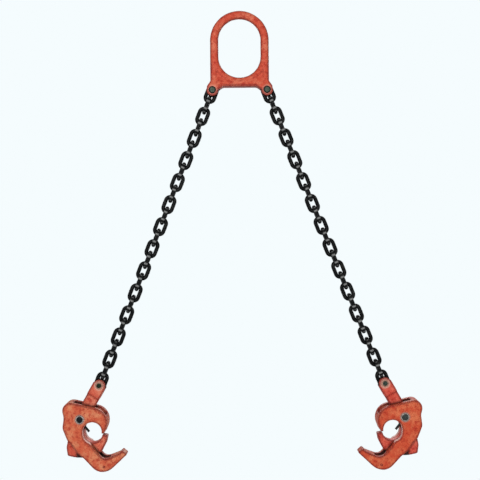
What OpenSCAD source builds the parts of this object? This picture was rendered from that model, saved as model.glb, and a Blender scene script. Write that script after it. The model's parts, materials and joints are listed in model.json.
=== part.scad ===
// Drum lifter: a two-leg chain sling with a forged master link and two rim clamps.
// The origin is the crane hook's seat, inside the crown of the master link.
// X runs across the two legs, Y through the thickness, Z up. Millimetres.

/* [Master link] */
// Width of the eye that the crane hook enters
eye_w = 67.4; // [60:0.2:78]
// Height of the eye
eye_h = 93.4; // [88:0.2:105]
// Diameter of the round bar of the eye
bar_d = 13.2; // [11:0.2:14]
// Distance between the two lug pins
lug_span = 87.2; // [84:0.2:92]
// Drop from the hook's seat to the lug pins
lug_drop = 114; // [112:0.2:119]
// Thickness of the yoke above the lugs
yoke_t = 11; // [9:0.5:13]
// Height of the yoke's web below the eye
yoke_h = 14.8; // [13:0.2:16]
// Thickness of the lugs and of the lever forks over both ears
fork_t = 18; // [16:0.5:22]

/* [Pins] */
// Diameter of the lug pins and lever pins
pin_d = 6.6; // [6:0.1:7]
// Diameter of the riveted heads of those pins
pin_head_d = 11.6; // [10:0.2:13]
// Diameter of the pivot pin through each clamp
pivot_d = 11; // [10:0.2:12]
// Diameter of the riveted heads of the pivot pins
pivot_head_d = 13.2; // [12.4:0.2:15]
// Height of every riveted head
head_h = 1.8; // [1.2:0.1:2.5]

/* [Chain] */
// Diameter of the chain wire
wire_d = 6.3; // [5.8:0.1:6.6]
// Inside length of a link, which is the pitch of the chain
link_in = 19.1; // [18.6:0.1:20.5]
// Inside width of a link
link_in_w = 7.8; // [7.4:0.1:8.6]
// Number of links in one leg
link_count = 27; // [21:2:31]
// Lean of each leg from the vertical
leg_angle = 21.4; // [16:0.2:28]

/* [Clamp] */
// Thickness of the clamp body over both cheeks
body_t = 32; // [29:0.5:36]
// Thickness of the jaw lever between the cheeks
lever_t = 14.4; // [13:0.2:15.4]
// Distance from the pivot pin to the lever pin
lever_arm = 60.4; // [56:0.2:66]
// Lean of the lever's shank from the vertical
lever_angle = 29.8; // [26:0.2:34]
// Width of the lever's shank
shank_w = 20.6; // [18:0.2:21]
// Distance from the pivot pin to the step where the fork begins
fork_step = 40.4; // [37:0.2:43]
// Width of the lever's fork
fork_w = 21.4; // [20:0.2:23]
// Radius of the lever's lower end about the pivot
sweep_r = 62.5; // [60:0.5:63.5]
// Distance from the pivot to the back of the head
back_reach = 27; // [25:0.2:30]
// Height of the head above the pivot
head_rise = 26.6; // [25:0.2:30]
// Reach of the hook's tip from the pivot
hook_reach = 74; // [70:0.5:80]
// Depth of the hook below the pivot
hook_drop = 82.6; // [80:0.2:88]
// Thickness of the hook at its tip
hook_tip_t = 18; // [14:0.5:26]
// Width of the jaw's ring opening
ring_w = 30; // [27:0.2:30.4]
// Height of the jaw's ring opening
ring_h = 34; // [31:0.2:34.4]
// Distance of the ring's centre inward from the pivot
ring_x = 19.5; // [19.2:0.1:21]
// Distance of the ring's centre below the pivot
ring_drop = 21.5; // [21:0.1:22.5]

/* [Closing spring] */
// Diameter of the spring wire
spring_d = 4; // [3:0.1:4.2]
// Number of turns round the pivot pin
spring_turns = 1.6; // [1.6:0.1:1.8]
// Length of the straight leg that stands in the ring opening
spring_leg = 14; // [10:0.5:16]

/* [Clearances] */
// Gap between bearing faces along the chain
chain_gap = 0.2; // [0.1:0.05:0.4]
// Side gap of a link in its fork
slot_clear = 0.35; // [0.25:0.05:0.6]
// Gap between a fork's round end and the next link but one
ear_clear = 0.6; // [0.5:0.05:1]
// Side gap of the lever between the cheeks
cheek_clear = 0.3; // [0.25:0.05:0.6]
// Radial gap of the lever and the spring on the pivot pin
pivot_clear = 0.25; // [0.2:0.05:0.5]
// Radial gap of a riveted pin in its holes
rivet_clear = 0.05; // [0.02:0.01:0.1]

/* [Hidden] */
$fn = 64;
SIDES = [-1, 1];
body_count = (link_count + 1) / 2;
// Angle between neighbouring points of a rounded corner
arc_step = 12;

// Master link
bar_x = (eye_w + bar_d) / 2;
crown_z = -eye_w / 2;
foot_z = eye_w / 2 - eye_h;
lug_x = lug_span / 2;
lug_z = -lug_drop;
yoke_bottom = -eye_h - yoke_h;
// Depth by which flat faces lie inside the round faces that they meet
skin = 0.4;
// Heights above the lug pins: the side's turn out to the lug, the lug's shoulder, the thin web, the bar's end
neck_h = 14.5;
shoulder_h = 7;
web_h = 21;
bar_end_h = 13;
lug_corner_h = 6;
// Width of the arch beside each lug, and the fillets of the yoke
arch_w = 7.5;
arch_r = 8;
neck_r = 6;
lug_r = 5;

// Chain
link_out_r = link_in_w / 2 + wire_d;
link_mean_r = (link_in_w + wire_d) / 2;
link_straight = link_in - link_in_w;
link_step = link_in - chain_gap;
first_link = link_in / 2 - pin_d / 2 - chain_gap;
leg_length = 2 * first_link + (link_count - 1) * link_step;

// Forks: the round end stays clear of the crown of the next link but one
slot_w = wire_d + 2 * slot_clear;
slot_r = link_out_r + 2 * slot_clear;
crown_reach = link_in - pin_d / 2 - wire_d - 2 * chain_gap;
crown_drop = link_out_r - sqrt(link_out_r ^ 2 - slot_w ^ 2 / 4);
ear_r = crown_reach + crown_drop - ear_clear;
// Angle from the fork's axis to which its ears stay round, past the next link's swing
ear_turn = 76;

// Clamp, seen with the sling's centre to the right of the pivot
lever_pin_x = lug_x + leg_length * sin(leg_angle);
lever_pin_z = lug_z - leg_length * cos(leg_angle);
pivot_x = lever_pin_x + lever_arm * sin(lever_angle);
pivot_z = lever_pin_z - lever_arm * cos(lever_angle);
body_slot = lever_t + 2 * cheek_clear;
hub_wall = 6.8;
hub_r = pivot_d / 2 + hub_wall;
// Where the hook begins to thin towards its tip
taper_x = 30;
taper_z = -48;
// A round dimple in each side of the hook
dimple = [38, -75.4];
dimple_d = 5;
// Corners of the body's outline, each [x, z, radius]; the hook's tip and the back go by their reach
head_lift = 3;
head_r = 12.5;
beak_crown = [51.7, 11.7, 24];
beak_tip = [38.1, -22.4, 0.8];
neck_corner = [13.8, -36.3, 0];
throat_corner = [37.3, -65.1, 12];
hook_tip_corners = [[-12.5, -55.2, 4], [-8, -50.8, 1.5], [0, -57, 2]];
heel_corner = [35, -9.8, 22.4];
belly_corners = [[7, -62.5, 6], [-5, -52.5, 8], [-12.5, -41, 8], [-19.9, -33, 5]];
back_corners = [[-0.6, -14, 14], [1.7, 3, 12], [-0.6, 12.6, 6]];
// Corners of the lever's lower jaw
foot_corners = [[-20, -31, 8], [-23, -46, 8]];
foot_end = [-20.5, 0, 6];
jaw_bottom = [0, -9, 0];
jaw_front = [29, 2, 0];
lip_corners = [[40.4, -38.5, 14], [42.6, -27.4, 1.5], [35.6, -26.2, 0]];
jaw_root = 2;
// Corners of the slot: its mouth at the top, its end in the beak, and its floor below the lever's sweep
mouth_x = -7.5;
slot_far = 90;
beak_slot = [[44, 6.8, 0], [17, -7, 3]];
throat_slot = [48, -40, 0];
slot_floor = [[46, -3.4, 2], [5, -5, 0]];
slot_back = [-10, -15];
spine_corner = [-1.4, 6, 2];
spine_step = 4;

// Closing spring: its coil sits in a pocket on the lever's front face
coil_r = pivot_d / 2 + pivot_clear + spring_d / 2;
coil_gap = 0.1;
coil_pitch = spring_d + coil_gap;
coil_side = 8;
coil_turn = 15;
// Direction of the spring's leg, and the bend where the wire turns out of the coil
leg_turn = -51.5;
bend_r = 0.8 * spring_d;
pocket_clear = 0.8;
pocket_r = coil_r + spring_d / 2 + pocket_clear;
pocket_depth = spring_turns * coil_pitch + spring_d + 2 * pivot_clear;
mouth_depth = 9;
pocket_mouth = [-84, -8];

function side_name(side, piece) = str(side < 0 ? "left_" : "right_", piece);
function two(n) = n < 10 ? str("0", n) : str(n);
function chain_name(side, body) =
    body == 1 ? side_name(side, "link_01")
    : side_name(side, str("links_", two(2 * body - 2), "_", two(2 * body - 1)));
CLAMP_PIECES = ["jaw_lever", "lever_pin", "clamp_body", "pivot_pin", "closing_spring"];

// An outline of corners [x, z, radius], each rounded by an arc
function unit(v) = v / norm(v);
function flat(corner) = [corner[0], corner[1]];
function rounded_corner(before, corner, after) =
    let (
        r = corner[2],
        back = unit(flat(before) - flat(corner)),
        ahead = unit(flat(after) - flat(corner)),
        half = acos(back * ahead) / 2,
        centre = flat(corner) + unit(back + ahead) * r / sin(half),
        first = flat(corner) + back * r / tan(half) - centre,
        turn = (back[0] * ahead[1] - back[1] * ahead[0] < 0 ? 1 : -1) * (180 - 2 * half),
        from = atan2(first[1], first[0]),
        steps = ceil(abs(turn) / arc_step)
    )
    r == 0 ? [flat(corner)]
    : [for (i = [0:steps]) centre + r * [cos(from + turn * i / steps), sin(from + turn * i / steps)]];
function rounded(corners) =
    let (n = len(corners))
    [for (i = [0:n - 1]) each rounded_corner(corners[(i + n - 1) % n], corners[i], corners[(i + 1) % n])];

// A plate standing in the XZ plane, centred on Y
module plate(t) {
    rotate([90, 0, 0])
        linear_extrude(t, center = true)
            children();
}

// A round bar or bore along Y, centred
module cross_bar(d, length) {
    rotate([90, 0, 0])
        cylinder(d = d, h = length, center = true);
}

// A pin along Y with a low domed head riveted over at each end
module riveted_pin(d, head_d, grip) {
    dome_r = (head_d ^ 2 / 4 + head_h ^ 2) / (2 * head_h) + head_d / 4;
    cross_bar(d, grip);
    for (end = [90, -90])
        rotate([end, 0, 0])
            translate([0, 0, grip / 2])
                intersection() {
                    cylinder(d = head_d, h = head_h);
                    translate([0, 0, head_h - dome_r])
                        sphere(dome_r);
                }
}

// The slot of a fork, round about its pin
module fork_slot() {
    cross_bar(2 * slot_r, slot_w);
}

module lug_place(side) {
    translate([side * lug_x, 0, lug_z])
        children();
}

// The leg's own frame: the lug pin at its origin, the chain running down -Z
module leg_place(side) {
    lug_place(side)
        rotate([0, -side * leg_angle, 0])
            children();
}

// The clamp's own frame: the pivot at its origin, +X towards the sling's centre
module clamp_place(side) {
    translate([side * pivot_x, 0, pivot_z])
        mirror([side > 0 ? 1 : 0, 0, 0])
            children();
}

// The lever's fork end in the clamp's frame: the lever pin at its origin, the shank down -Z
module lever_pin_place() {
    rotate([0, lever_angle, 0])
        translate([0, 0, lever_arm])
            children();
}

// Right half of the yoke: a web under the eye that runs out into one lug
module yoke_half() {
    ear_edge = lug_x + ear_r;
    difference() {
        union() {
            polygon(rounded([
                [0, foot_z, 0],
                [bar_x, foot_z, 0],
                [bar_x + bar_d / 2 - skin, foot_z - bar_d, 0],
                [bar_x + bar_d / 2 - skin, lug_z + neck_h, neck_r],
                [ear_edge - skin, lug_z + lug_corner_h, lug_r],
                [ear_edge - skin, lug_z, 0],
                [lug_x - ear_r + skin, lug_z, 0],
                [lug_x - ear_r - arch_w, yoke_bottom, arch_r],
                [0, yoke_bottom, 0]
            ]));
            translate([lug_x, lug_z])
                circle(ear_r);
        }
        translate([0, foot_z])
            circle(bar_x);
    }
}

// Forged master link: an oblong eye of round bar on a yoke with two forked lugs
module master_link() {
    color("#c8553a")
        difference() {
            union() {
                translate([0, 0, crown_z])
                    half_ring(bar_x, bar_d);
                translate([0, 0, foot_z])
                    mirror([0, 0, 1])
                        half_ring(bar_x, bar_d);
                for (side = SIDES)
                    translate([side * bar_x, 0, crown_z])
                        mirror([0, 0, 1])
                            cylinder(d = bar_d, h = crown_z - lug_z - bar_end_h);
                intersection() {
                    plate(fork_t)
                        for (side = [0, 1])
                            mirror([side, 0])
                                yoke_half();
                    rotate([90, 0, 90])
                        linear_extrude(2 * lug_span, center = true)
                            for (face = [0, 1])
                                mirror([face, 0])
                                    polygon([
                                        [0, lug_z - 2 * ear_r],
                                        [fork_t / 2, lug_z - 2 * ear_r],
                                        [fork_t / 2, lug_z + shoulder_h],
                                        [yoke_t / 2, lug_z + web_h],
                                        [yoke_t / 2, foot_z],
                                        [0, foot_z]
                                    ]);
                }
            }
            for (side = SIDES)
                lug_place(side) {
                    fork_slot();
                    cross_bar(pin_d + 2 * rivet_clear, 2 * fork_t);
                }
        }
}

// Upper half of a ring of round bar standing in the XZ plane
module half_ring(mean_r, d) {
    rotate([90, 0, 0])
        rotate_extrude(angle = 180)
            translate([mean_r, 0])
                circle(d = d);
}

module lug_pin(side) {
    color("#4a4f4c")
        lug_place(side)
            riveted_pin(pin_d, pin_head_d, fork_t);
}

// One welded link, standing face-on
module chain_link() {
    for (end = [0, 1])
        mirror([0, 0, end])
            translate([0, 0, link_straight / 2])
                half_ring(link_mean_r, wire_d);
    for (side = SIDES)
        translate([side * link_mean_r, 0, 0])
            cylinder(d = wire_d, h = link_straight, center = true);
}

// The links of one chain body: the first alone, then pairs of an edge-on and a face-on link
module chain_body(side, body) {
    links = body == 1 ? [1] : [2 * body - 2, 2 * body - 1];
    color("#26282a")
        leg_place(side)
            for (k = links)
                translate([0, 0, -first_link - (k - 1) * link_step])
                    rotate([0, 0, k % 2 == 0 ? 90 : 0])
                        chain_link();
}

// The jaw's ring opening, rounder than tall
module ring_opening() {
    rise = (ring_h - ring_w) / 2;
    translate([ring_x, -ring_drop]) {
        for (end = [rise, -rise])
            translate([0, end])
                circle(d = ring_w);
        square([ring_w, 2 * rise], center = true);
    }
}

// Side view of the jaw lever at the thickness that runs between the cheeks
module lever_profile() {
    difference() {
        union() {
            circle(hub_r);
            rotate(-lever_angle)
                translate([-shank_w / 2, 0])
                    square([shank_w, lever_arm - slot_r]);
            intersection() {
                circle(sweep_r);
                polygon(lower_jaw());
            }
        }
        ring_opening();
    }
}

// Side view of the fork at the top of the lever: its ears are round as far as the next link swings
module fork_profile() {
    shoulder = (ear_r - skin) * [sin(ear_turn), cos(ear_turn)];
    rotate(-lever_angle) {
        polygon([
            [-fork_w / 2, fork_step],
            [fork_w / 2, fork_step],
            [fork_w / 2, lever_arm],
            [shoulder[0], lever_arm + shoulder[1]],
            [-shoulder[0], lever_arm + shoulder[1]],
            [-fork_w / 2, lever_arm]
        ]);
        translate([0, lever_arm])
            circle(ear_r);
    }
}

// The slot of the fork, open to both sides so that the last link can lie over
module open_slot() {
    fork_slot();
    translate([-fork_w, -slot_w / 2, skin - slot_r])
        cube([2 * fork_w, slot_w, slot_r]);
}

// Jaw lever, a bell crank: a forked shank for the chain, a hub, and a lower jaw whose lip shuts the ring
module jaw_lever(side) {
    color("#c8553a")
        clamp_place(side)
            difference() {
                union() {
                    plate(lever_t)
                        lever_profile();
                    plate(fork_t)
                        fork_profile();
                }
                lever_pin_place() {
                    open_slot();
                    cross_bar(pin_d + 2 * rivet_clear, 2 * fork_t);
                }
                cross_bar(pivot_d + 2 * pivot_clear, 2 * lever_t);
                spring_pocket();
            }
}

// Outline of the lower jaw before its end is swept about the pivot: the foot at the back, the lip in front
function lower_jaw() = rounded([
    [skin - hub_r, -jaw_root, 0],
    each foot_corners,
    each [for (corner = [foot_end, jaw_bottom, jaw_front]) corner - [0, sweep_r, 0]],
    each lip_corners,
    [ring_x, -ring_drop, 0],
    [hub_r / 2, -jaw_root, 0]
]);

// Pocket for the spring's coil, with a mouth wide enough for its leg over the lever's travel
module spring_pocket() {
    mouth_r = pocket_r + mouth_depth;
    reach = 2 * mouth_r;
    translate([0, pocket_depth / 2 - lever_t / 2, 0])
        plate(pocket_depth + pivot_clear) {
            circle(pocket_r);
            intersection() {
                circle(mouth_r);
                polygon(concat([[0, 0]], [for (a = pocket_mouth) reach * [cos(a), sin(a)]]));
            }
        }
}

module lever_pin(side) {
    color("#4a4f4c")
        clamp_place(side)
            lever_pin_place()
                riveted_pin(pin_d, pin_head_d, fork_t);
}

// Front outline of the clamp body: head, beak, neck and hook
function body_outline() = rounded([
    [-back_reach, head_rise + head_lift, head_r],
    beak_crown,
    beak_tip,
    [ring_x, -ring_drop, 0],
    neck_corner,
    throat_corner,
    each [for (corner = hook_tip_corners) corner + [hook_reach, 0, 0]],
    heel_corner - [0, hook_drop, 0],
    each belly_corners,
    each [for (corner = back_corners) corner - [back_reach, 0, 0]]
]);

// Slot between the cheeks: open at the top for the shank, and below and behind for the lower jaw
function cheek_slot() = rounded([
    [mouth_x, 2 * head_rise, 0],
    [slot_far, 2 * head_rise, 0],
    each beak_slot,
    [ring_x, -ring_drop, 0],
    throat_slot,
    each [for (corner = slot_floor) corner - [0, sweep_r, 0]],
    [slot_back[0], -hook_drop, 0],
    [-2 * back_reach, -hook_drop, 0],
    [-2 * back_reach, slot_back[1], 0],
    [-back_reach - spine_step, slot_back[1], 0],
    spine_corner - [hub_r, 0, 0]
]);

// Forged clamp body: two cheeks joined by the head, the beak and the hook
module clamp_body(side) {
    taper = (body_t - hook_tip_t) / 2;
    color("#c8553a")
        clamp_place(side)
            difference() {
                plate(body_t)
                    difference() {
                        polygon(body_outline());
                        ring_opening();
                    }
                plate(body_slot)
                    polygon(cheek_slot());
                cross_bar(pivot_d + 2 * rivet_clear, 2 * body_t);
                for (face = [0, 1])
                    mirror([0, face, 0]) {
                        translate([0, 0, taper_z])
                            mirror([0, 0, 1])
                                linear_extrude(hook_drop)
                                    polygon([
                                        [taper_x, -body_t / 2],
                                        [hook_reach, taper - body_t / 2],
                                        [2 * hook_reach, taper - body_t / 2],
                                        [2 * hook_reach, -body_t],
                                        [taper_x, -body_t]
                                    ]);
                        translate([dimple[0], -body_t / 2, dimple[1]])
                            sphere(d = dimple_d);
                    }
            }
}

module pivot_pin(side) {
    color("#4a4f4c")
        clamp_place(side)
            riveted_pin(pivot_d, pivot_head_d, body_t);
}

// Path of the spring wire: the tail in the pocket, the turns round the pin, the bend, the straight leg
function spoke(a, y, r) = [r * cos(a), y, r * sin(a)];
function spring_path() =
    let (
        y_front = -lever_t / 2 + pivot_clear + spring_d / 2,
        sweep = 360 * spring_turns,
        count = ceil(sweep / coil_turn),
        bend_centre = spoke(leg_turn, y_front, coil_r + bend_r),
        bend_steps = ceil(90 / coil_turn),
        leave = bend_centre + spoke(leg_turn - 90, 0, bend_r)
    )
    concat(
        [for (i = [count:-1:0])
            spoke(leg_turn + sweep * i / count, y_front + spring_turns * coil_pitch * i / count, coil_r)],
        [for (i = [1:bend_steps])
            bend_centre + spoke(leg_turn + 180 + 90 * i / bend_steps, 0, bend_r)],
        [leave + spoke(leg_turn, 0, spring_leg)]
    );

// A round wire swept along a path, with a flat end at each side
module swept_wire(path, d) {
    n = len(path);
    function way(i) = unit(path[min(i + 1, n - 1)] - path[max(i - 1, 0)]);
    function across(i) = unit(cross(way(i), [0, 1, 0]));
    function upright(i) = cross(across(i), way(i));
    rings = [for (i = [0:n - 1]) for (k = [0:coil_side - 1])
        let (a = 360 * k / coil_side)
        path[i] + d / 2 * (across(i) * cos(a) + upright(i) * sin(a))];
    walls = [for (i = [0:n - 2]) for (k = [0:coil_side - 1])
        let (next = (k + 1) % coil_side)
        [i * coil_side + k, i * coil_side + next, (i + 1) * coil_side + next, (i + 1) * coil_side + k]];
    start_cap = [for (k = [coil_side - 1:-1:0]) k];
    end_cap = [for (k = [0:coil_side - 1]) (n - 1) * coil_side + k];
    polyhedron(points = rings, faces = concat(walls, [start_cap, end_cap]));
}

// Torsion spring round the pivot pin that keeps the jaw shut
module closing_spring(side) {
    color("#1e2022")
        clamp_place(side)
            swept_wire(spring_path(), spring_d);
}

master_link();
for (side = SIDES) {
    lug_pin(side);
    for (body = [1:body_count])
        chain_body(side, body);
    jaw_lever(side);
    lever_pin(side);
    clamp_body(side);
    pivot_pin(side);
    closing_spring(side);
}
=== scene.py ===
import json
import math

import bmesh
import bpy
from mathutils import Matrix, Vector


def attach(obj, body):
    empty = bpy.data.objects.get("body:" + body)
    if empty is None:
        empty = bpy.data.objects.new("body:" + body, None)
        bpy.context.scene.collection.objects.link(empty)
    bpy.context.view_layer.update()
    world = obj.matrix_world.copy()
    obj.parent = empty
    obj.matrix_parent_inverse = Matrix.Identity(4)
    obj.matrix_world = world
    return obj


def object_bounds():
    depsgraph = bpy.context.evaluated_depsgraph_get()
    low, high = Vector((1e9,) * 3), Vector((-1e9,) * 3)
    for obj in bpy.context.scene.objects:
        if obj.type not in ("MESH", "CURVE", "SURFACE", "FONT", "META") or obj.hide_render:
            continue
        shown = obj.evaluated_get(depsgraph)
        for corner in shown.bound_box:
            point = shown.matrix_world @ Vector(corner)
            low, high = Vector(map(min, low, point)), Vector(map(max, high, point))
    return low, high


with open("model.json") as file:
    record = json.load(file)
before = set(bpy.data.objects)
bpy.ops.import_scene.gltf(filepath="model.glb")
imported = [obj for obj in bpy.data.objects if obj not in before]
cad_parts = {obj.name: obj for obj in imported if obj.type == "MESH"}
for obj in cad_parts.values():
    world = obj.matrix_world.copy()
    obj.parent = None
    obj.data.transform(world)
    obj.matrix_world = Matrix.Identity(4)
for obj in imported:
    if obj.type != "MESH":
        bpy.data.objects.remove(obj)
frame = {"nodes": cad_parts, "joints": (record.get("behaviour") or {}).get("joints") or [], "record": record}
cad_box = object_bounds()

# Master link: one drop forging, an oblong eye of round bar on a yoke with two forked lugs.
# Medium-carbon steel, shot blasted and dipped in orange-red paint that has mottled and worn.
# The hook's bowl sits in the crown, and a leg of chain hangs on a pin through each lug.
MM = 0.001
NODES = frame["nodes"]
JOINT_AT = {joint["name"]: Vector(joint["pos_m"]) for joint in frame["joints"]}
SKIN_VOXEL = 0.7 * MM
SCALE_GRAIN = 5 * MM
SCALE_DEPTH = 0.35 * MM
LINK_COAT = (0.560, 0.074, 0.037)
LUG_RUB = 0.35
# How far painted shade darkens the master link's flanks.
BAR_FLANK_SHADE = 0.6


def add_node(tree, kind, place, **settings):
    """One shader node with its properties and plain socket values set."""
    node = tree.nodes.new(kind)
    node.location = place
    for name, value in settings.items():
        if hasattr(node, name):
            setattr(node, name, value)
        else:
            node.inputs[name.replace("_", " ")].default_value = value
    return node


def feed(tree, node, values):
    """Fills a node's sockets in order, each from another node or with a plain value."""
    for socket, value in zip(node.inputs, values):
        if isinstance(value, bpy.types.NodeSocket):
            tree.links.new(value, socket)
        else:
            socket.default_value = value


def reckon(tree, operation, place, *values):
    """Arithmetic on numbers."""
    node = add_node(tree, "ShaderNodeMath", place, operation=operation)
    feed(tree, node, values)
    return node.outputs["Value"]


def measure(tree, operation, place, *values):
    """Arithmetic on points and directions; a length or a dot product gives a number."""
    node = add_node(tree, "ShaderNodeVectorMath", place, operation=operation)
    feed(tree, node, values)
    return node.outputs["Value" if operation in ("LENGTH", "DOT_PRODUCT") else "Vector"]


def thickness_part(tree, direction, place):
    """How far a point or direction goes through the sling's thickness, along Y either way."""
    node = add_node(tree, "ShaderNodeSeparateXYZ", place)
    tree.links.new(direction, node.inputs["Vector"])
    return reckon(tree, "ABSOLUTE", (place[0] + 200, place[1]), node.outputs["Y"])


def new_material(name):
    """An empty node material with a Principled surface, ready to be wired."""
    material = bpy.data.materials.new(name)
    material.use_nodes = True
    tree = material.node_tree
    tree.nodes.clear()
    surface = add_node(tree, "ShaderNodeBsdfPrincipled", (600, 0))
    output = add_node(tree, "ShaderNodeOutputMaterial", (900, 0))
    tree.links.new(surface.outputs["BSDF"], output.inputs["Surface"])
    coords = add_node(tree, "ShaderNodeTexCoord", (-1400, 0))
    return material, tree, surface, coords.outputs["Object"]


def noise(tree, coords, grain, place, detail=4.0):
    """Fractal noise whose patches are about as wide as grain, in metres."""
    node = add_node(tree, "ShaderNodeTexNoise", place,
                    Scale=1 / grain, Detail=detail, Roughness=0.6)
    tree.links.new(coords, node.inputs["Vector"])
    return node.outputs["Fac"]


def ramp(tree, value, stops, place):
    """Maps a value from 0 to 1 onto stops of (position, level)."""
    node = add_node(tree, "ShaderNodeValToRGB", place)
    while len(node.color_ramp.elements) < len(stops):
        node.color_ramp.elements.new(0.5)
    for element, (position, level) in zip(node.color_ramp.elements, stops):
        element.position = position
        element.color = (level, level, level, 1)
    tree.links.new(value, node.inputs["Fac"])
    return node.outputs["Color"]


def patches(tree, coords, grain, stops, place):
    """Noise drawn out to the levels of a ramp."""
    return ramp(tree, noise(tree, coords, grain, place), stops, (place[0] + 200, place[1]))


def blend(tree, mask, below, above, place):
    """Lays one colour over another by a mask; either colour may be a plain tuple."""
    node = add_node(tree, "ShaderNodeMix", place, data_type="RGBA", blend_type="MIX")
    tree.links.new(mask, node.inputs["Factor"])
    for socket, colour in ((node.inputs[6], below), (node.inputs[7], above)):
        if isinstance(colour, tuple):
            socket.default_value = (*colour, 1)
        else:
            tree.links.new(colour, socket)
    return node.outputs[2]


def bump(tree, surface, height, depth, strength, place):
    """Gives a surface small relief from a height mask."""
    node = add_node(tree, "ShaderNodeBump", place, Distance=depth, Strength=strength)
    tree.links.new(height, node.inputs["Height"])
    tree.links.new(node.outputs["Normal"], surface.inputs["Normal"])


def round_axis(tree, coords, at, place):
    """Distance of a point from an axis along Y through a pin's centre."""
    away = measure(tree, "SUBTRACT", place, coords, at)
    flat = measure(tree, "MULTIPLY", (place[0] + 200, place[1]), away, (1, 0, 1))
    return measure(tree, "LENGTH", (place[0] + 400, place[1]), flat)


def fade(tree, value, start, end, level, place):
    """A smooth mask, nothing at start and level at end."""
    node = add_node(tree, "ShaderNodeMapRange", place, interpolation_type="SMOOTHSTEP")
    tree.links.new(value, node.inputs["Value"])
    limits = (("From Min", start), ("From Max", end), ("To Min", 0.0), ("To Max", level))
    for socket, number in limits:
        node.inputs[socket].default_value = number
    return node.outputs["Result"]


def orange_paint(name, coat, pins, rub, flank_shade=0.0, gripped=(), shadow_spots=(), shade_reach=16 * MM):
    """Worn orange-red paint on a rough forging: mottled, with maroon painted shade on edges and flanks,
    rubbed pale round pins and on walls that grip, painted black shadow at given spots and painted shade in
    corners."""
    sunned = (coat[0] * 1.16, coat[1] * 2.10, coat[2] * 2.30)
    stain = (coat[0] * 0.70, coat[1] * 0.40, coat[2] * 0.45)
    # Maroon for painted shade on edges and flanks; near black for painted shadow and painted shade in
    # corners.
    rim, shade_black = (0.150, 0.014, 0.012), (0.012, 0.005, 0.004)
    rubbed, chafed = (0.62, 0.34, 0.26), (0.78, 0.46, 0.40)
    sun_grain, stain_grain, shadow_grain, pit_grain = 14 * MM, 6 * MM, 5 * MM, 2.2 * MM
    rub_outside, rub_inside, edge_width = 9.5 * MM, 6.5 * MM, 6.5 * MM
    grip_outside, grip_inside = 20 * MM, 18 * MM
    shadow_outside, shadow_inside, shadow_stray = 19 * MM, 12 * MM, 14 * MM
    pit_depth = 0.45 * MM
    material, tree, surface, coords = new_material(name)

    mottle = patches(tree, coords, sun_grain, [(0.44, 0.0), (0.62, 1.0)], (-1200, 500))
    colour = blend(tree, mottle, coat, sunned, (-700, 500))
    blotch = patches(tree, coords, stain_grain, [(0.50, 0.0), (0.66, 0.9)], (-1200, 250))
    colour = blend(tree, blotch, colour, stain, (-500, 400))
    for i, pin in enumerate(pins):
        low = -900 - 200 * i
        reach = round_axis(tree, coords, pin, (-1200, low))
        ring = fade(tree, reach, rub_outside, rub_inside, rub, (-600, low))
        colour = blend(tree, ring, colour, rubbed, (-300, -600 - 100 * i))

    # Painted shade: maroon where the surface turns at a rounded edge, and on flanks turned side-on to the
    # front.
    shape = add_node(tree, "ShaderNodeNewGeometry", (-1400, -300)).outputs["True Normal"]
    eased = add_node(tree, "ShaderNodeBevel", (-1400, -450), samples=8, Radius=edge_width)
    turn = measure(tree, "DOT_PRODUCT", (-1200, -300), shape, eased.outputs["Normal"])
    shaded_edges = ramp(tree, turn, [(0.93, 0.92), (0.996, 0.0)], (-1000, -300))
    colour = blend(tree, shaded_edges, colour, rim, (-100, 200))
    facing = thickness_part(tree, shape, (-1200, -1500))
    shaded_flanks = fade(tree, facing, 0.88, 0.42, flank_shade, (-600, -1300))
    colour = blend(tree, shaded_flanks, colour, rim, (0, 250))

    for i, middle in enumerate(gripped):
        low = -1700 - 200 * i
        reach = round_axis(tree, coords, middle, (-1200, low))
        inside = fade(tree, reach, grip_outside, grip_inside, 1.0, (-600, low))
        wall = fade(tree, facing, 0.75, 0.45, 0.9, (-600, low - 100))
        worn = reckon(tree, "MULTIPLY", (-300, low), inside, wall)
        colour = blend(tree, worn, colour, chafed, (0, 100))
    # Painted shadow: a ragged near-black patch round each given spot, standing in for shade.
    for i, spot in enumerate(shadow_spots):
        low = -2200 - 200 * i
        reach = round_axis(tree, coords, spot, (-1400, low))
        stray = noise(tree, coords, shadow_grain, (-1200, low - 100))
        ragged = reckon(tree, "MULTIPLY_ADD", (-800, low), stray, shadow_stray, reach)
        painted_shadow = fade(tree, ragged, shadow_outside, shadow_inside, 0.95, (-600, low))
        colour = blend(tree, painted_shadow, colour, shade_black, (50, 0))
    # Painted shade: near black in corners, creases and recesses, from ambient occlusion.
    shade = add_node(tree, "ShaderNodeAmbientOcclusion", (-1000, -600), Distance=shade_reach, samples=16)
    shaded_corners = ramp(tree, shade.outputs["AO"], [(0.40, 1.0), (0.80, 0.0)], (-800, -600))
    colour = blend(tree, shaded_corners, colour, shade_black, (100, 200))

    tree.links.new(colour, surface.inputs["Base Color"])
    gloss = patches(tree, coords, stain_grain, [(0.3, 0.46), (0.7, 0.70)], (-1200, 0))
    tree.links.new(gloss, surface.inputs["Roughness"])
    surface.inputs["Specular IOR Level"].default_value = 0.14
    pits = noise(tree, coords, pit_grain, (-300, -300), detail=6.0)
    bump(tree, surface, pits, pit_depth, 0.6, (300, -300))
    return material


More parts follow.
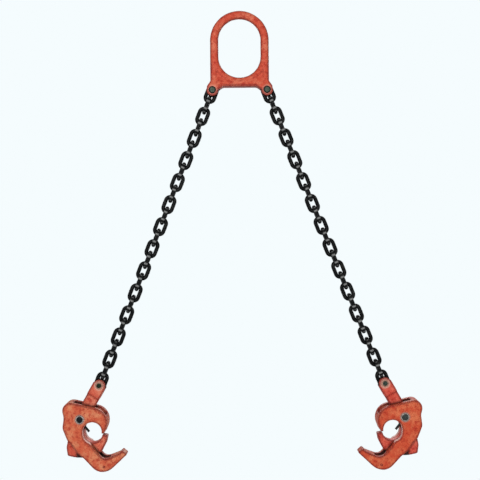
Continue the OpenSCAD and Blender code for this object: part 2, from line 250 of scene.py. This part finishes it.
def forge(node):
    """Rounds a CAD forging's edges and roughens its skin, without moving its own mesh."""
    piece = NODES[node]
    skin = piece.modifiers.new("forged_skin", "REMESH")
    skin.mode = "VOXEL"
    skin.voxel_size = SKIN_VOXEL
    skin.use_smooth_shade = True
    ease = piece.modifiers.new("eased_edges", "SMOOTH")
    ease.factor = 0.5
    ease.iterations = 3
    scale = bpy.data.textures.new(f"{node}_scale", "CLOUDS")
    scale.noise_scale = SCALE_GRAIN
    rough = piece.modifiers.new("scale_marks", "DISPLACE")
    rough.texture = scale
    rough.texture_coords = "LOCAL"
    rough.strength = SCALE_DEPTH
    rough.mid_level = 0.5
    return piece


def dress(piece, material):
    """Puts one material on every face of a piece."""
    piece.data.materials.clear()
    piece.data.materials.append(material)


lug_pins_at = [JOINT_AT["left_leg_swing"], JOINT_AT["right_leg_swing"]]
dress(forge("master_link"),
      orange_paint("master_link_paint", LINK_COAT, lug_pins_at, LUG_RUB, flank_shade=BAR_FLANK_SHADE))

# Lug pins: turned steel pins through the two lugs, their ends hammered over into low domes.
# Left unpainted; the heads have gone a dull grey-green and carry the marks of the hammer.
SIDES = ("left", "right")
SMALL_CORE_R = 4.0 * MM
LUG_HEAD, LUG_HEAD_RIM = (0.088, 0.118, 0.088), (0.006, 0.008, 0.009)


def pin_steel(name, at, core, rim, core_r):
    """Dull steel with stains and small hammer marks: a core and a rim of another colour."""
    stained, blur = (0.010, 0.012, 0.010), 0.7 * MM
    stain_grain, gloss_grain = 3 * MM, 1.5 * MM
    mark_grain, mark_depth = 1.8 * MM, 0.3 * MM
    material, tree, surface, coords = new_material(name)
    reach = round_axis(tree, coords, at, (-1200, 600))
    inside = fade(tree, reach, core_r + blur, core_r - blur, 1.0, (-500, 600))
    colour = blend(tree, inside, rim, core, (-300, 500))
    stain = patches(tree, coords, stain_grain, [(0.40, 0.0), (0.65, 0.7)], (-900, 300))
    colour = blend(tree, stain, colour, stained, (-100, 300))
    tree.links.new(colour, surface.inputs["Base Color"])
    gloss = patches(tree, coords, gloss_grain, [(0.3, 0.34), (0.7, 0.58)], (-900, 0))
    tree.links.new(gloss, surface.inputs["Roughness"])
    surface.inputs["Specular IOR Level"].default_value = 0.06
    bump(tree, surface, noise(tree, coords, mark_grain, (-300, -300)), mark_depth, 0.6, (0, -300))
    return material


for side in SIDES:
    pin_at = JOINT_AT[f"{side}_leg_swing"]
    dress(NODES[f"{side}_lug_pin"],
          pin_steel(f"{side}_lug_pin_steel", pin_at, LUG_HEAD, LUG_HEAD_RIM, SMALL_CORE_R))

# Chain: welded short links of 6.3 mm round alloy wire, each standing square to the next.
# Black oxide from the heat treatment, oiled, rubbed bright where one link bears on the next.
# A link is one bent length of wire closed by a butt weld, which swells the wire on one side.
WIRE_R = 3.15 * MM
LINK_STEP = 18.9 * MM
FIRST_LINK = 6.05 * MM
LINK_MEAN_R = 7.05 * MM
LINK_IN = 19.1 * MM
LINKS = 27
FORK_CLEAR = 3.3 * MM
WELD_HALF = 2.3 * MM
WELD_PROUD = 0.22 * MM
WELD_SUNK = 0.25 * MM
WELD_LUMPS = 0.025
WELD_RINGS, WELD_SPOKES = 7, 16


def chain_black(name, leg_top, down):
    """Black oxide on steel wire, patchy in gloss, bright where the links bear on each other, with a
    painted grey highlight on the outer shoulders of their bends."""
    black, worn = (0.0035, 0.0038, 0.0040), (0.022, 0.022, 0.021)
    bright, shoulder_highlight = (0.26, 0.25, 0.24), (0.200, 0.200, 0.195)
    worn_grain, gloss_grain = 5 * MM, 2 * MM
    scale_grain, scale_depth = 1.2 * MM, 0.12 * MM
    bearing_outside, bearing_inside = 3.0 * MM, 1.2 * MM
    crown_start, crown_end = 7.0 * MM, 9.0 * MM
    material, tree, surface, coords = new_material(name)
    patch = patches(tree, coords, worn_grain, [(0.50, 0.0), (0.75, 1.0)], (-900, 300))
    colour = blend(tree, patch, black, worn, (-300, 300))

    # step runs from 0 to 1 between the middles of two links, and is one half where they bear
    step_start = leg_top + down * (FIRST_LINK + LINK_IN / 2 - LINK_STEP / 2)
    away = measure(tree, "SUBTRACT", (-1200, 800), coords, step_start)
    along = measure(tree, "DOT_PRODUCT", (-1000, 800), away, down)
    steps = reckon(tree, "DIVIDE", (-800, 800), along, LINK_STEP)
    step = reckon(tree, "FRACT", (-600, 800), steps)
    off_axis = measure(tree, "CROSS_PRODUCT", (-1000, 1000), away, down)
    reach = measure(tree, "LENGTH", (-800, 1000), off_axis)
    bearing = ramp(tree, step, [(0.40, 0.0), (0.47, 1.0), (0.53, 1.0), (0.60, 0.0)], (-400, 800))
    middle = fade(tree, reach, bearing_outside, bearing_inside, 1.0, (-400, 1000))
    rub = reckon(tree, "MULTIPLY", (-100, 900), bearing, middle)
    colour = blend(tree, rub, colour, bright, (100, 500))

    # Painted highlight: pale grey on the outer shoulders of the edge-on links' bends, where the lamps would
    # glint.
    bends = ramp(tree, step, [(0.22, 0.0), (0.30, 1.0), (0.36, 1.0), (0.43, 0.0),
                              (0.57, 0.0), (0.64, 1.0), (0.70, 1.0), (0.78, 0.0)], (-400, 1200))
    outward = thickness_part(tree, coords, (-1000, 1300))
    crown = fade(tree, outward, crown_start, crown_end, 1.0, (-400, 1400))
    painted_highlights = reckon(tree, "MULTIPLY", (-100, 1300), bends, crown)
    colour = blend(tree, painted_highlights, colour, shoulder_highlight, (300, 600))

    tree.links.new(colour, surface.inputs["Base Color"])
    gloss = patches(tree, coords, gloss_grain, [(0.3, 0.26), (0.7, 0.44)], (-900, 0))
    tree.links.new(gloss, surface.inputs["Roughness"])
    surface.inputs["Specular IOR Level"].default_value = 0.045
    bump(tree, surface, noise(tree, coords, scale_grain, (-300, -300)), scale_depth, 0.4, (0, -300))
    return material


def weld_swelling(mesh, centre, way, out):
    """A collar of upset metal round the wire, a little proud and uneven, sunk in at both ends."""
    third = way.cross(out)
    rings = []
    for i in range(WELD_RINGS):
        t = i / (WELD_RINGS - 1)
        swell = math.sin(math.pi * t)
        r = WIRE_R - WELD_SUNK + (WELD_PROUD + WELD_SUNK) * swell
        middle = centre + way * WELD_HALF * (2 * t - 1)
        ring = []
        for k in range(WELD_SPOKES):
            a = 2 * math.pi * k / WELD_SPOKES
            lump = 1 + WELD_LUMPS * math.sin(3 * a + 5 * t) * swell
            spoke = out * math.cos(a) + third * math.sin(a)
            ring.append(mesh.verts.new(middle + spoke * r * lump))
        rings.append(ring)
    for first, second in zip(rings, rings[1:]):
        for k in range(WELD_SPOKES):
            j = (k + 1) % WELD_SPOKES
            mesh.faces.new((first[k], first[j], second[j], second[k]))
    mesh.faces.new(rings[0][::-1])
    mesh.faces.new(rings[-1])


def smooth_shading(mesh):
    """Shades a mesh as round, without changing its shape."""
    mesh.polygons.foreach_set("use_smooth", [True] * len(mesh.polygons))


for side in SIDES:
    leg_top = JOINT_AT[f"{side}_leg_swing"]
    down = (JOINT_AT[f"{side}_lever_swing"] - leg_top).normalized()
    through = Vector((0, 1, 0))
    oxide = chain_black(f"{side}_chain_oxide", leg_top, down)
    for first in [1] + list(range(2, LINKS, 2)):
        links = [1] if first == 1 else [first, first + 1]
        body = f"{side}_link_01" if first == 1 else f"{side}_links_{first:02d}_{first + 1:02d}"
        dress(NODES[body], oxide)
        smooth_shading(NODES[body].data)
        lumps = bmesh.new()
        for k in links:
            out = (through if k % 2 == 0 else down.cross(through)) * (1 if k % 4 < 2 else -1)
            # the end links' welds sit off the middle, clear of the lug and of the lever's fork
            clear = {1: FORK_CLEAR, LINKS: -FORK_CLEAR}.get(k, 0)
            centre = leg_top + down * (FIRST_LINK + (k - 1) * LINK_STEP + clear) + out * LINK_MEAN_R
            weld_swelling(lumps, centre, down, out)
        bmesh.ops.recalc_face_normals(lumps, faces=lumps.faces)
        mesh = bpy.data.meshes.new(f"{body}_welds")
        lumps.to_mesh(mesh)
        lumps.free()
        smooth_shading(mesh)
        welds = bpy.data.objects.new(f"{body}_welds", mesh)
        bpy.context.scene.collection.objects.link(welds)
        dress(welds, oxide)
        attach(welds, body)

# Jaw levers: forged bell cranks, forked at the top for the chain's last link.
# Dipped in the same paint as the master link, with painted black shadow at the heel.
# The hub turns on the pivot pin, and the lower jaw works between the clamp's cheeks.
# The right lever's coat is darker and redder than the left's: painted shade over the same paint.
LEVER_COAT_AND_SHADE = {"left": (0.560, 0.086, 0.046), "right": (0.560, 0.058, 0.034)}
CLAMP_RUB = 0.8
LEVER_SHADE_REACH = 9 * MM
# The heel's painted shadow sits this far out and down from the pivot.
HEEL_BACK, HEEL_DROP = 0.5 * MM, 60.5 * MM
for side in SIDES:
    pins = [JOINT_AT[f"{side}_lever_swing"]]
    outward = -1 if side == "left" else 1
    heel = JOINT_AT[f"{side}_jaw_opening"] + Vector((outward * HEEL_BACK, 0, -HEEL_DROP))
    dress(forge(f"{side}_jaw_lever"),
          orange_paint(f"{side}_lever_paint", LEVER_COAT_AND_SHADE[side], pins, CLAMP_RUB,
                       shadow_spots=[heel], shade_reach=LEVER_SHADE_REACH))

# Lever pins: the same riveted pins as in the lugs, through the forks of the levers.
# Steel, set flush enough for the paint to smear over the rim of each head.
SMEARED = (0.50, 0.26, 0.19)
FORK_PIN = {"left": (0.008, 0.020, 0.009), "right": (0.040, 0.054, 0.042)}
for side in SIDES:
    pin_at = JOINT_AT[f"{side}_lever_swing"]
    dress(NODES[f"{side}_lever_pin"],
          pin_steel(f"{side}_lever_pin_steel", pin_at, FORK_PIN[side], SMEARED, SMALL_CORE_R))

# Clamp bodies: heavy forgings with two cheeks joined at the head, the beak and the hook.
# Painted like the rest; rubbed through round the pivot, with painted shade inside the slot.
# The wall of the ring is chafed pale by the rims of the drums that it has gripped.
MOUNT_AT = {mount["name"]: Vector(mount["pos_m"]) for mount in frame["record"]["mounts"]}
# The right body's coat is darker and redder than the left's: painted shade over the same paint.
CLAMP_COAT_AND_SHADE = {"left": (0.560, 0.104, 0.046), "right": (0.545, 0.070, 0.027)}
for side in SIDES:
    pins = [JOINT_AT[f"{side}_jaw_opening"]]
    dress(forge(f"{side}_clamp_body"),
          orange_paint(f"{side}_body_paint", CLAMP_COAT_AND_SHADE[side], pins, CLAMP_RUB,
                       gripped=[MOUNT_AT[f"{side}_jaw"]]))

# Pivot pins: thick pins riveted through both cheeks, with the lever and spring between.
# Oil from the joint has blackened the heads; their rims are rubbed bright.
OILED_HEAD = {"left": (0.005, 0.006, 0.010), "right": (0.048, 0.056, 0.052)}
BRIGHT_RIM = (0.46, 0.40, 0.36)
PIVOT_CORE_R = 5.2 * MM
for side in SIDES:
    pin_at = JOINT_AT[f"{side}_jaw_opening"]
    dress(NODES[f"{side}_pivot_pin"],
          pin_steel(f"{side}_pivot_pin_steel", pin_at, OILED_HEAD[side], BRIGHT_RIM, PIVOT_CORE_R))

# Closing springs: torsion springs of black wire round the pivot pins.
# The coil is hidden in the lever's pocket; one leg stands in the ring opening.
CUT_END = math.radians(50)


def spring_wire(name):
    """Black spring wire with a slight sheen and fine drawing marks."""
    tint_grain, gloss_grain = 2.5 * MM, 1.0 * MM
    mark_grain, mark_depth = 0.8 * MM, 0.08 * MM
    material, tree, surface, coords = new_material(name)
    tint = patches(tree, coords, tint_grain, [(0.40, 0.003), (0.70, 0.014)], (-900, 300))
    tree.links.new(tint, surface.inputs["Base Color"])
    gloss = patches(tree, coords, gloss_grain, [(0.3, 0.32), (0.7, 0.50)], (-900, 0))
    tree.links.new(gloss, surface.inputs["Roughness"])
    surface.inputs["Specular IOR Level"].default_value = 0.10
    bump(tree, surface, noise(tree, coords, mark_grain, (-300, -300)), mark_depth, 0.3, (0, -300))
    return material


spring_black = spring_wire("spring_wire")
for side in SIDES:
    spring = NODES[f"{side}_closing_spring"]
    ends = spring.modifiers.new("cut_ends", "EDGE_SPLIT")
    ends.split_angle = CUT_END
    smooth_shading(spring.data)
    dress(spring, spring_black)

# Stage: a pale floor under the hanging sling and a pale sky all round, both plain.
# Two soft lamps stand in front of the object and one behind it.
# The camera stands where the photographer stood.
BACKDROP = (0.913, 0.973, 0.991)
SKY_LIGHT = 0.12
FLOOR_Z, FLOOR_R = -0.95, 4.0
SHADOW_R, PLAIN_R = 0.30, 0.70
SHADOW_PLAIN = 0.5
scene = bpy.context.scene
scene.view_settings.view_transform = "Standard"


def shown(tree, place):
    """One for rays that show the backdrop itself: from the camera, in gloss or through glass."""
    path = add_node(tree, "ShaderNodeLightPath", place).outputs
    seen = reckon(tree, "MAXIMUM", (place[0] + 200, place[1]),
                  path["Is Camera Ray"], path["Is Glossy Ray"])
    return reckon(tree, "MAXIMUM", (place[0] + 400, place[1]), seen, path["Is Transmission Ray"])


world = bpy.data.worlds.new("pale_room")
scene.world = world
world.use_nodes = True
sky = world.node_tree
sky.nodes.clear()
light = add_node(sky, "ShaderNodeBackground", (-200, -100),
                 Color=(*BACKDROP, 1), Strength=SKY_LIGHT)
plain = add_node(sky, "ShaderNodeBackground", (-200, 100), Color=(*BACKDROP, 1), Strength=1.0)
pick = add_node(sky, "ShaderNodeMixShader", (100, 0))
feed(sky, pick, (shown(sky, (-900, 300)), light.outputs["Background"], plain.outputs["Background"]))
sky_out = add_node(sky, "ShaderNodeOutputWorld", (300, 0))
sky.links.new(pick.outputs["Shader"], sky_out.inputs["Surface"])

bpy.ops.mesh.primitive_circle_add(vertices=96, radius=FLOOR_R, fill_type="NGON",
                                  location=(0, 0, FLOOR_Z))
floor = bpy.context.object
floor.name = "floor"
floor_paint, floor_tree, floor_surface, floor_coords = new_material("pale_floor")
floor_surface.inputs["Base Color"].default_value = (*BACKDROP, 1)
floor_surface.inputs["Roughness"].default_value = 0.9
glow = add_node(floor_tree, "ShaderNodeEmission", (600, -400), Color=(*BACKDROP, 1), Strength=1.0)
reach = measure(floor_tree, "LENGTH", (-900, 300), floor_coords)
distant = fade(floor_tree, reach, SHADOW_R, PLAIN_R, 1 - SHADOW_PLAIN, (-600, 300))
plainness = reckon(floor_tree, "ADD", (-300, 300), distant, SHADOW_PLAIN)
bright = reckon(floor_tree, "MULTIPLY", (300, 300), plainness, shown(floor_tree, (-300, 600)))
mixed = add_node(floor_tree, "ShaderNodeMixShader", (800, -100))
feed(floor_tree, mixed, (bright, floor_surface.outputs["BSDF"], glow.outputs["Emission"]))
floor_out = next(node for node in floor_tree.nodes if node.type == "OUTPUT_MATERIAL")
floor_tree.links.new(mixed.outputs["Shader"], floor_out.inputs["Surface"])
dress(floor, floor_paint)

centre = (Vector(cad_box[0]) + Vector(cad_box[1])) / 2


def soft_lamp(name, place, size, watts):
    """A square soft box that faces the middle of the object."""
    lamp = bpy.data.lights.new(name, "AREA")
    lamp.size = size
    lamp.energy = watts
    holder = bpy.data.objects.new(name, lamp)
    scene.collection.objects.link(holder)
    holder.location = place
    holder.rotation_euler = (centre - Vector(place)).to_track_quat("-Z", "Y").to_euler()


soft_lamp("key", (-0.45, -2.1, 0.25), 0.9, 34)
soft_lamp("fill", (1.2, -1.6, -0.3), 1.2, 7)
soft_lamp("back", (0.3, 1.9, 0.45), 1.2, 26)

PHOTO_SPAN = 0.768
CAMERA_AWAY = 1.30
CAMERA_AT = (-0.0015, -CAMERA_AWAY, -0.3531)
PHOTO_TILT = math.radians(0.46)
view = bpy.data.cameras.new("camera")
view.sensor_fit = "HORIZONTAL"
view.angle = 2 * math.atan(PHOTO_SPAN / 2 / CAMERA_AWAY)
camera = bpy.data.objects.new("camera", view)
scene.collection.objects.link(camera)
camera.location = CAMERA_AT
camera.rotation_euler = (math.pi / 2, PHOTO_TILT, 0)
scene.camera = camera
